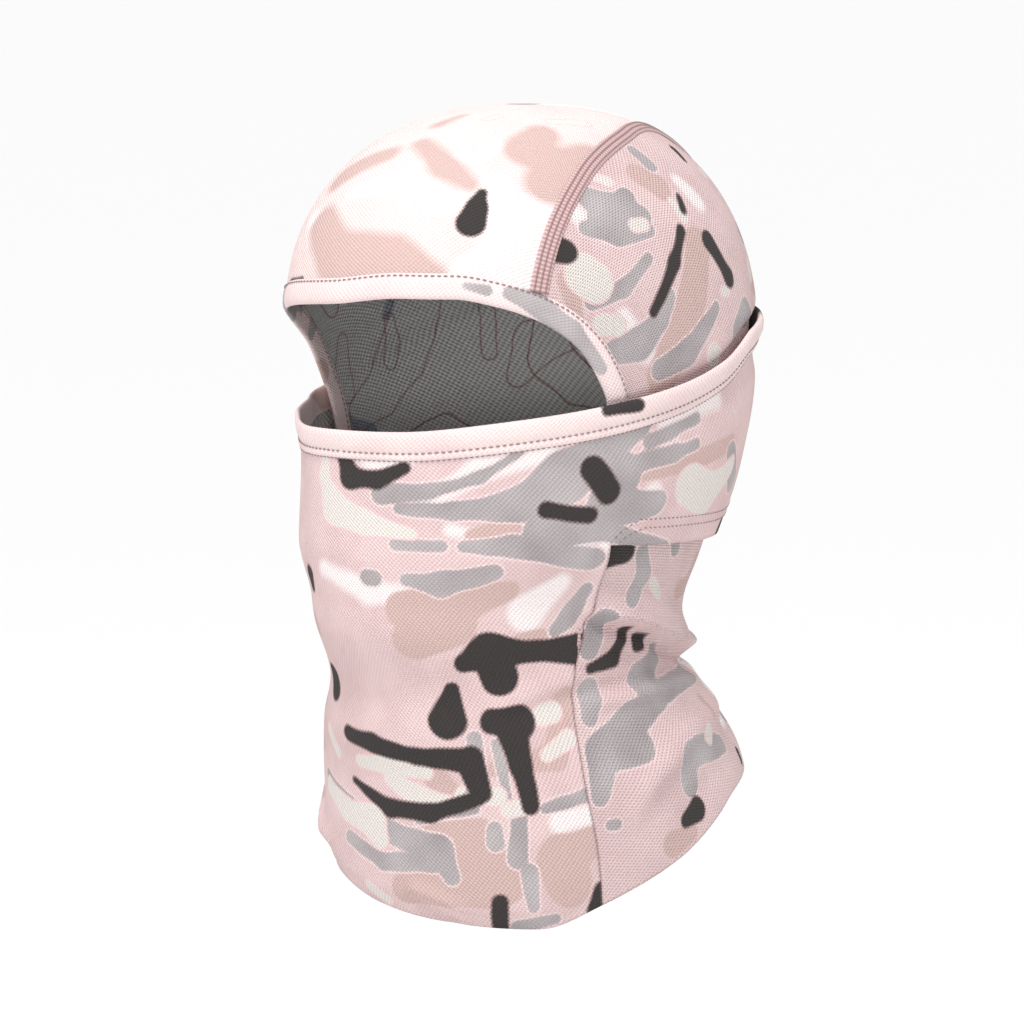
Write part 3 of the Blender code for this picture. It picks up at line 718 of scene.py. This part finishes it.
class Shade:
    """A material and short names for the nodes it is made of."""

    def __init__(self, name, roughness, sheen=0.0, specular=0.3):
        self.made = bpy.data.materials.new(name)
        self.made.use_nodes = True
        self.tree = self.made.node_tree
        self.shader = self.tree.nodes["Principled BSDF"]
        self.shader.inputs["Roughness"].default_value = roughness
        self.shader.inputs["Specular IOR Level"].default_value = specular
        self.shader.inputs["Sheen Weight"].default_value = sheen
        self.shader.inputs["Sheen Roughness"].default_value = 0.5

    def put(self, socket, value):
        if isinstance(value, bpy.types.NodeSocket):
            self.tree.links.new(value, socket)
        else:
            socket.default_value = value

    def math(self, operation, *values, clamp=False):
        node = self.tree.nodes.new("ShaderNodeMath")
        node.operation, node.use_clamp = operation, clamp
        for socket, value in zip(node.inputs, values):
            self.put(socket, value)
        return node.outputs[0]

    def mix(self, factor, a, b, kind="MIX"):
        node = self.tree.nodes.new("ShaderNodeMix")
        node.data_type, node.blend_type = "RGBA", kind
        self.put(node.inputs[0], factor)
        self.put(node.inputs[6], a)
        self.put(node.inputs[7], b)
        return node.outputs[2]

    def attribute(self, name):
        node = self.tree.nodes.new("ShaderNodeAttribute")
        node.attribute_name = name
        return node.outputs["Fac"]

    def weave(self):
        """Cloth coordinates in mm, as (vector, across, along)."""
        uv = self.tree.nodes.new("ShaderNodeUVMap")
        uv.uv_map = "weave"
        split = self.tree.nodes.new("ShaderNodeSeparateXYZ")
        self.tree.links.new(uv.outputs[0], split.inputs[0])
        return uv.outputs[0], split.outputs[0], split.outputs[1]

    def noise(self, vector, scale, detail=2.0):
        node = self.tree.nodes.new("ShaderNodeTexNoise")
        self.tree.links.new(vector, node.inputs["Vector"])
        node.inputs["Scale"].default_value, node.inputs["Detail"].default_value = scale, detail
        return node.outputs[0]

    def inside(self, distance, soft, edge=0.0):
        """1 inside an edge at the given distance, 0 outside, over soft mm."""
        return self.math("MULTIPLY_ADD", distance, -1 / soft, 0.5 + edge / soft, clamp=True)

    def near(self, distance, half, soft, centre=0.0):
        """1 within half mm of a distance."""
        return self.inside(self.math("ABSOLUTE", self.math("SUBTRACT", distance, centre)), soft, half)

    def cells(self, u, v, wide, tall, lean=0.0):
        """Staggered knit cells, -1 in the pits to 1 on the loops."""
        skew = self.math("MULTIPLY_ADD", v, lean, u)
        a = self.math("SINE", self.math("MULTIPLY", skew, math.pi / wide))
        b = self.math("SINE", self.math("MULTIPLY", v, math.pi / tall))
        return self.math("MULTIPLY", a, b)

    def finish(self, color, height=None, distance=0.0002, strength=1.0):
        self.put(self.shader.inputs["Base Color"], color)
        if height is not None:
            node = self.tree.nodes.new("ShaderNodeBump")
            node.inputs["Strength"].default_value, node.inputs["Distance"].default_value = strength, distance
            self.tree.links.new(height, node.inputs["Height"])
            self.tree.links.new(node.outputs[0], self.shader.inputs["Normal"])
        return self.made


PINK, LIGHT, TAN = srgb(218, 189, 189), srgb(244, 234, 233), srgb(206, 176, 170)
GREY, PALE_GREY, CREAM = srgb(158, 150, 152), srgb(188, 181, 182), srgb(226, 218, 212)
OUTLINE, CHARCOAL, HALO = srgb(238, 196, 198), srgb(20, 19, 18), srgb(96, 66, 66)


def printed(name, wide=0.92, tall=0.88, relief_depth=0.0002, pit=0.30, tan_edge=1.2, base=None):
    s = Shade(name, 0.9, sheen=0.04, specular=0.12)
    vector, u, v = s.weave()
    cell = s.cells(u, v, wide, tall, 0.28)
    fibre = s.noise(vector, 4.0, 3.0)
    step = s.math("MULTIPLY", cell, 0.22)
    fields = {key: s.math("ADD", s.attribute(key), step) for key in LAYERS}
    mottle = s.inside(s.noise(vector, 0.045, 2.0), 0.25, 0.52)
    # With a base given, the mottle is lighter too: for the tape and the crown this is part of their painted
    # light.
    color = s.mix(mottle, base or PINK, srgb(238, 217, 215) if base else srgb(226, 199, 198))
    color = s.mix(s.inside(fields["light"], 3.0, 0.4), color, LIGHT)
    color = s.mix(s.inside(fields["tan"], tan_edge), color, TAN)
    grey = s.mix(s.inside(s.noise(vector, 0.05, 1.0), 0.5, 0.5), GREY, PALE_GREY)
    color = s.mix(s.near(fields["grey"], 0.25, 0.5, 0.5), color, srgb(240, 216, 216))
    color = s.mix(s.inside(fields["grey"], 0.9), color, grey)
    color = s.mix(s.near(fields["cream"], 0.3, 0.35, 0.3), color, OUTLINE)
    color = s.mix(s.inside(fields["cream"], 0.4), color, CREAM)
    color = s.mix(s.math("MULTIPLY", s.inside(fields["dark"], 0.7, 0.55), 0.75), color, HALO)
    color = s.mix(s.inside(fields["dark"], 0.5, -0.1), color, CHARCOAL)
    # Painted shade: the colour darkens in the pits between the knit's loops, as strongly as pit asks.
    pits = s.math("MULTIPLY_ADD", cell, -0.5, 0.5, clamp=True)
    pit_shade = s.math("MULTIPLY", s.math("POWER", pits, 2.0), pit)
    color = s.mix(pit_shade, color, s.mix(0.78, color, srgb(70, 44, 46)))
    color = s.mix(s.math("MULTIPLY", fibre, 0.08), color, LIGHT)
    # Painted shade along the groove of the neck's side seam.
    seam_groove_shade = s.math("MULTIPLY", s.inside(s.attribute("seam_shade_distance"), 0.8, 0.35), 0.45)
    color = s.mix(seam_groove_shade, color, srgb(150, 122, 124))
    height = s.math("MULTIPLY_ADD", fibre, 0.35, cell)
    return s.finish(color, height, relief_depth)


def lining(name):
    """The inner face of the knit: a coarse grey mesh with the print showing through as fine outlines."""
    s = Shade(name, 0.9, sheen=0.05, specular=0.2)
    _, u, v = s.weave()
    cell = s.cells(u, v, 1.3, 1.1, 0.2)
    pits = s.math("MULTIPLY_ADD", cell, -0.5, 0.5, clamp=True)
    color = s.mix(s.inside(s.attribute("dark"), 0.8), srgb(206, 204, 203), srgb(148, 156, 168))
    for key, share in (("grey", 0.6), ("tan", 0.6), ("cream", 0.75)):
        line = s.math("MULTIPLY", s.near(s.attribute(key), 0.4, 0.5), share)
        color = s.mix(line, color, srgb(140, 84, 86))
    # Painted shade: the colour darkens in the pits of the mesh.
    color = s.mix(s.math("MULTIPLY", s.math("POWER", pits, 1.4), 0.6), color, srgb(78, 74, 75))
    return s.finish(color, cell, 0.0003)


def flatlock():
    """Covering seam: raised rows of mauve thread over paler cloth, with cross threads between them."""
    s = Shade("flatlock_seam", 0.75, sheen=0.1)
    vector, u, _ = s.weave()
    row = s.attribute("row")
    rung = s.math("MULTIPLY_ADD", s.math("SINE", s.math("MULTIPLY", u, 2 * math.pi / 1.5)), 0.5, 0.5)
    cloth_tone = s.mix(s.math("MULTIPLY", rung, 0.7), srgb(206, 174, 172), srgb(128, 96, 98))
    color = s.mix(s.math("MULTIPLY", row, 0.85), cloth_tone, srgb(112, 80, 82))
    color = s.mix(s.math("MULTIPLY", s.noise(vector, 3.0), 0.25), color, srgb(212, 186, 184))
    height = s.math("MULTIPLY_ADD", row, 0.6, s.math("MULTIPLY", rung, 0.5))
    return s.finish(color, height, 0.0003)


def thread(name, tone):
    s = Shade(name, 0.55, sheen=0.1, specular=0.4)
    coordinates = s.tree.nodes.new("ShaderNodeTexCoord")
    strand = s.noise(coordinates.outputs["Object"], 2500.0, 1.0)
    color = s.mix(s.math("MULTIPLY", strand, 0.5), tone, srgb(215, 190, 190))
    return s.finish(color, strand, 0.00008)


KNIT, BACK = printed("knit_print"), lining("knit_lining")
# Painted light: the binding tape is the same knit as the panels, with a lighter base colour to offset the
# shade on its curved fold.
LIGHTENED_TAPE = printed("binding_print_lightened", 0.92, 0.88, 0.00014, 0.25, base=srgb(233, 209, 208))
# Painted light: the crown panel's base and mottle are lighter than the same knit on the sides, for the light
# from above on the top of the head.
CROWN = printed("crown_print_lightened", tan_edge=4.0, pit=0.2, base=srgb(234, 212, 209))
SIDE = printed("side_print", 1.25, 0.66, 0.00026, 0.36)
SEAM, STITCH = flatlock(), thread("sewing_thread", srgb(104, 82, 84))
FACES = [KNIT, BACK]


# ---------------------------------------------------------------- hood
def coons(bottom, top, left, right):
    """A grid of points filling the space between four edges."""
    v = np.linspace(0, 1, len(left))[:, None, None]
    u = np.linspace(0, 1, len(bottom))[None, :, None]
    ruled = (1 - v) * bottom[None] + v * top[None] + (1 - u) * left[:, None] + u * right[:, None]
    return ruled - ((1 - u) * (1 - v) * bottom[0] + u * (1 - v) * bottom[-1]
                    + (1 - u) * v * top[0] + u * v * top[-1])


def side_grid(sign, columns=121, rows=101):
    turn, gap = 0.58, 0.0003
    top = center_point(float(sign), np.linspace(0, turn, columns), gap)
    back = center_point(float(sign), np.linspace(1, turn, rows), gap)
    front = around(*brow_edge(sign, np.linspace(1, brow_share(sign), rows)))
    front[-1] = top[0]
    width, _, depth = section(NAPE)
    nape = np.degrees(np.arctan2(back[0][0] / width, -back[0][1] / depth))
    bottom = around(np.linspace(sign * BROW_LEFT[-1][0], nape, columns), NAPE)
    grid = coons(bottom, top, front, back)
    grid[1:-1, 1:-1] = snap(grid[1:-1, 1:-1])
    return grid


def hood_panels():
    across, along = np.meshgrid(np.linspace(-1, 1, 105), np.linspace(0, 1, 231))
    grid = center_point(across, along)
    patch = (grid, 0.0, arc_uv(grid))
    made = {"crown_center": cloth("crown_center", [patch], "crown", "hood", [CROWN, BACK])}
    for sign, side in ((1, "left"), (-1, "right")):
        grid = side_grid(sign)
        name, patch = f"crown_{side}", (grid, 0.0, arc_uv(grid))
        made[name] = cloth(name, [patch], name, "hood", [SIDE, BACK])
    return made


def seam_strips():
    made = {}
    along = np.concatenate([np.linspace(0.035, CROWN_ROWS, 330), np.linspace(CROWN_ROWS, 0.985, 80)[1:]])
    for sign, side in ((1, "left"), (-1, "right")):
        path = center_point(float(sign), along, 0.0001)
        offsets = np.linspace(-0.0035, 0.0035, 29)
        row = np.clip(np.cos(offsets * 2 * np.pi / 0.0021), 0, 1) ** 1.5
        edge = bump(0.0035 - np.abs(offsets), 0, 0.0005)
        top = np.column_stack([offsets, 0.0003 + edge * (0.0004 + 0.00055 * row)])
        profile = np.vstack([top, [[0.0034, -0.0001], [-0.0034, -0.0001]]])
        made[side] = swept(f"flatlock_{side}", path, profile, None, "hood", [SEAM],
                           rows=np.concatenate([row * edge, [0, 0, 0]]))
    return made


def hood_edge(count):
    left = np.linspace(0, 1, count)
    side_l, z_l = brow_edge(1, left)
    side_r, z_r = brow_edge(-1, left[:0:-1])
    return around(np.concatenate([side_r, side_l]), np.concatenate([z_r, z_l]))


def binding_profile(height, width, ridge=0.0):
    """Outline of a folded binding: face, fold over the edge, back.

    ridge adds a raised line past its lower edge.
    """
    face = [(width - 0.0012, 0.0004), (width - 0.0026, 0.00085), (width * 0.5, 0.00105), (0.0016, 0.00095),
            (0.0004, 0.0007), (-0.0005, 0.0002), (-0.0009, -0.0004), (-0.0005, -0.0010),
            (0.0006, -0.0013), (width * 0.5, -0.0014), (width - 0.0008, -0.0013),
            (width - 0.0002, -0.0010), (width - 0.0001, 0.0)]
    if ridge:
        raised = [(width + ridge + 0.0004, 0.0001), (width + ridge - 0.0002, 0.00055),
                  (width + ridge * 0.5, 0.00085), (width + 0.0002, 0.00055), (width - 0.0006, 0.0003)]
        face = raised + face[:-1] + [(width + ridge, -0.0002)]
    fine = []
    for a, b in zip(face, face[1:] + face[:1]):
        pieces = max(1, round(math.dist(a, b) / 0.0012))
        fine += [(a[0] + (b[0] - a[0]) * k / pieces, a[1] + (b[1] - a[1]) * k / pieces)
                 for k in range(pieces)]
    return [(d, h + height) for d, h in fine]


def brow():
    path = hood_edge(200)
    tape = swept("brow_binding_tape", path, binding_profile(0.0, BINDING), "brow", "hood", [LIGHTENED_TAPE])
    rows = stitches("brow_stitches", [path], "hood", STITCH, BINDING - 0.0011, 0.00065)
    rim = stitches("brow_inner_stitches", [path], "hood", STITCH, BINDING - 0.0024, -0.0016)
    return tape, rows, rim


# ---------------------------------------------------------------- mask, ear band and neck
SEAM_SIDE = float(neck_seam(JAW))


def outer_height(z):
    return BAND_OUT * bump(z, -0.094, -0.072)


def face_panel():
    middle = np.linspace(-SEAM_SIDE, SEAM_SIDE, 151)
    left = np.linspace(SEAM_SIDE, 179.8, 101)[1:]
    side = np.concatenate([-left[::-1], middle, left])
    turn = np.abs(side)
    share = np.linspace(0, 1, 45)[:, None]
    bottom = JAW + (band_hem(turn) - JAW) * bump(turn, SEAM_SIDE, SEAM_SIDE + 8)
    z = top_edge(side) * (1 - share) + bottom * share
    band = around(np.broadcast_to(side, z.shape), z)
    band_uv = np.stack(np.broadcast_arrays(np.radians(side) * 0.080, z), -1)
    share = np.linspace(0, 1, 116)[:, None]
    z, fraction = JAW + 0 * share, np.linspace(-1, 1, 151)
    for _ in range(14):
        angle = fraction * neck_seam(z)
        z = JAW * (1 - share) + rim_level(angle) * share
    neck = around(angle, z)
    neck_uv = np.stack([np.radians(angle) * 0.080, z], -1)
    patches = [(band, BAND_OUT, band_uv), (neck, outer_height(z), neck_uv)]
    return cloth("face_panel", patches, "mask", "band", FACES)


def neck_panel():
    share, around_back = np.linspace(0, 1, 121)[:, None], np.linspace(0, 1, 241)
    z = NAPE + 0 * share
    for _ in range(14):
        first = neck_seam(z) + 0.1
        angle = first + (360 - 2 * first) * around_back
        z = NAPE * (1 - share) + rim_level(np.where(angle > 180, angle - 360, angle)) * share
    grid = around(angle, z)
    lean = np.radians(angle) * 0.078
    uv = np.stack([lean * 0.96 + z * 0.28, z * 0.96 - lean * 0.28], -1)
    return cloth("neck_panel", [(grid, 0.0, uv)], "neck", "neck", [SIDE, BACK])


def mask_binding():
    side = np.linspace(360, 0, 620, endpoint=False)
    path = around(side, top_edge(np.where(side > 180, side - 360, side)))
    profile = binding_profile(BAND_OUT, BINDING - 0.0006, 0.0021)
    tape = swept("mask_binding_tape", path, profile, "binding", "band", [LIGHTENED_TAPE], closed=True)
    loop = np.concatenate([path, path[:1]])
    upper = stitches("mask_binding_stitches", [loop], "band", STITCH, BINDING - 0.0012, BAND_OUT + 0.0005)
    lower = stitches("mask_binding_lower_stitches", [loop], "band", STITCH, BINDING + 0.0019,
                     BAND_OUT + 0.00025, pitch=0.0019, length=0.0013, thick=0.00018)
    return tape, upper, lower


def band_rows():
    """The turned-up hem of the ear band, its two stitch rows, and the seam at the centre back."""
    hems, paths = [], []
    for sign in (1, -1):
        side = np.linspace(179.6, SEAM_SIDE + 0.6, 150)
        hem = around(sign * side, band_hem(side) + 0.0042)
        hems.append(hem if sign > 0 else hem[::-1])
        for rise, end in ((0.0098, SEAM_SIDE + 0.4), (0.0066, SEAM_SIDE + 2.2)):
            side = np.linspace(179.6, end, 160)
            lift = rise * np.clip((side - end + 0.3) / 7, 0, 1) ** 0.5
            paths.append(around(sign * side, band_hem(side) + lift))
    profile = rounded(0.0044, BAND_OUT - 0.0013, BAND_OUT - 0.00075)
    strips = [swept(f"ear_band_turned_hem_{name}", path, profile, "mask", "band", [BACK])
              for name, path in zip(("left", "right"), hems)]
    rows = stitches("ear_band_hem_rows", paths, "band", STITCH, 0.0, BAND_OUT + 0.00012,
                    pitch=0.0024, length=0.0017, thick=0.00017)
    z = np.linspace(band_hem(180) + 0.001, top_edge(180) - 0.010, 60)
    centre = around(180.0, z)
    profile = rounded(0.0028, BAND_OUT - 0.0013, BAND_OUT - 0.0008)
    back = swept("ear_band_center_seam", centre, profile, None, "band", [SEAM])
    return strips, rows, back


def neck_strips():
    """The seam allowances inside the neck: down both sides, and where the hood is sewn on."""
    made = []
    for sign, name in ((1, "left"), (-1, "right")):
        z = np.linspace(-0.096, float(rim_level(sign * 67.5)) + 0.0006, 110)
        path = around(sign * (neck_seam(z) + 0.2), z)
        profile = rounded(0.0032, -0.0014, -0.0008)
        made.append(swept(f"neck_allowance_{name}", path, profile, None, "neck", [SEAM]))
    nape = around(np.linspace(277, 83, 160), NAPE - 0.0002)
    made.append(swept("nape_allowance", nape, rounded(0.003, -0.0014, -0.0008), None, "hood", [SEAM]))
    return made


# ---------------------------------------------------------------- assembly
hood = hood_panels()
flatlocks = seam_strips()
brow_tape, brow_rows, brow_rim = brow()
face, neck = face_panel(), neck_panel()
tape, upper_rows, lower_rows = mask_binding()
turned_hems, hem_rows, centre_seam = band_rows()
left_allowance, right_allowance, nape_strip = neck_strips()

for obj in (hood["crown_center"], *flatlocks.values()):
    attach(obj, "hood")
for obj in (face, neck, tape, upper_rows, lower_rows, *turned_hems, hem_rows, centre_seam, left_allowance,
            right_allowance):
    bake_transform(obj)
# The lower front corners of the hood are sewn to the neck, and give by the same amount as it does there.
for obj in (hood["crown_left"], hood["crown_right"], brow_tape, brow_rows, brow_rim, nape_strip):
    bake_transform(obj)

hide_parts("crown_center_panel")
for side in ("left", "right"):
    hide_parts(f"crown_side_panel_{side}")
    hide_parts(f"crown_seam_{side}", f"crown_seam_thread_{side}_1",
                f"crown_seam_thread_{side}_2")
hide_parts("brow_binding")
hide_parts("brow_stitch")
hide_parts("mask_front_panel", "ear_band_left", "ear_band_right", "neck_front_panel")
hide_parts("mask_top_binding_front", "mask_top_binding_back")
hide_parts("mask_top_stitch_front", "mask_top_stitch_back")
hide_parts(*[f"ear_band_hem_stitch_{side}_{n}" for side in ("left", "right") for n in (1, 2)])
for obj, side in zip(turned_hems, ("left", "right")):
    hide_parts(f"ear_band_hem_{side}")
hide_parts("ear_band_back_seam")
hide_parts("neck_back_panel")
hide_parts("neck_seam_left")
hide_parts("neck_seam_right")
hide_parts("nape_seam")


# ---------------------------------------------------------------- studio
CAMERA_SIDE, CAMERA_RISE, CAMERA_DISTANCE, CAMERA_LENS = 42, 6, 1.5, 140.8  # degrees twice, metres, mm


def studio():
    azimuth, elevation, distance = math.radians(CAMERA_SIDE), math.radians(CAMERA_RISE), CAMERA_DISTANCE
    back = Vector((math.sin(azimuth) * math.cos(elevation), -math.cos(azimuth) * math.cos(elevation),
                   math.sin(elevation)))
    right = Vector((math.cos(azimuth), math.sin(azimuth), 0))
    up = back.cross(right)
    data = bpy.data.cameras.new("camera")
    data.lens, data.clip_end = CAMERA_LENS, 300
    camera = bpy.data.objects.new("camera", data)
    bpy.context.scene.collection.objects.link(camera)
    camera.location = back * distance
    aim = -0.0037 * right - 0.0681 * up
    camera.rotation_mode = "QUATERNION"
    camera.rotation_quaternion = (aim - camera.location).to_track_quat("-Z", "Y")
    bpy.context.scene.camera = camera

    def lamp(light, stand, target):
        obj = bpy.data.objects.new(light.name, light)
        bpy.context.scene.collection.objects.link(obj)
        obj.location = stand
        obj.rotation_mode = "QUATERNION"
        obj.rotation_quaternion = (Vector(target) - obj.location).to_track_quat("-Z", "Y")

    key = bpy.data.lights.new("key", "AREA")
    key.shape, key.size, key.energy = "DISK", 0.8, 26
    lamp(key, back * 1.2 - right * 0.3 + up * 1.6, (0, 0, -0.05))
    spot = bpy.data.lights.new("opening", "SPOT")
    spot.energy, spot.spot_size, spot.spot_blend, spot.shadow_soft_size = 66, math.radians(12), 1.0, 0.2
    lamp(spot, back * 1.8 - right * 0.2 - up * 0.05, (0, 0, 0.015))
    # A white sky, brightest overhead, dimmer lower down, and bright again near the horizon and below it.
    world = bpy.data.worlds.new("studio")
    world.use_nodes = True
    nodes, links = world.node_tree.nodes, world.node_tree.links
    nodes["Background"].inputs["Color"].default_value = (1, 1, 1, 1)
    way, split, climb = (nodes.new(kind) for kind in
                         ("ShaderNodeTexCoord", "ShaderNodeSeparateXYZ", "ShaderNodeMapRange"))
    links.new(way.outputs["Generated"], split.inputs[0])
    links.new(split.outputs["Z"], climb.inputs["Value"])
    climb.inputs["To Min"].default_value, climb.inputs["To Max"].default_value = 0.34, 1.32
    low, brighter = nodes.new("ShaderNodeMapRange"), nodes.new("ShaderNodeMath")
    links.new(split.outputs["Z"], low.inputs["Value"])
    low.inputs["From Min"].default_value, low.inputs["From Max"].default_value = 0.10, 0.16
    low.inputs["To Min"].default_value, low.inputs["To Max"].default_value = 0.97, 0.0
    brighter.operation = "MAXIMUM"
    links.new(climb.outputs[0], brighter.inputs[0])
    links.new(low.outputs[0], brighter.inputs[1])
    links.new(brighter.outputs[0], nodes["Background"].inputs["Strength"])
    bpy.context.scene.world = world
    bpy.context.scene.view_settings.view_transform = "Standard"
    mesh = bpy.data.meshes.new("floor")
    mesh.from_pydata([(-90, -90, 0), (90, -90, 0), (90, 90, 0), (-90, 90, 0)], [], [(0, 1, 2, 3)])
    floor = bpy.data.objects.new("floor", mesh)
    floor.location.z = -0.9
    bpy.context.scene.collection.objects.link(floor)
    paint = Shade("floor_paint", 0.9, specular=0.1)
    mesh.materials.append(paint.finish(srgb(252, 252, 252)))


studio()
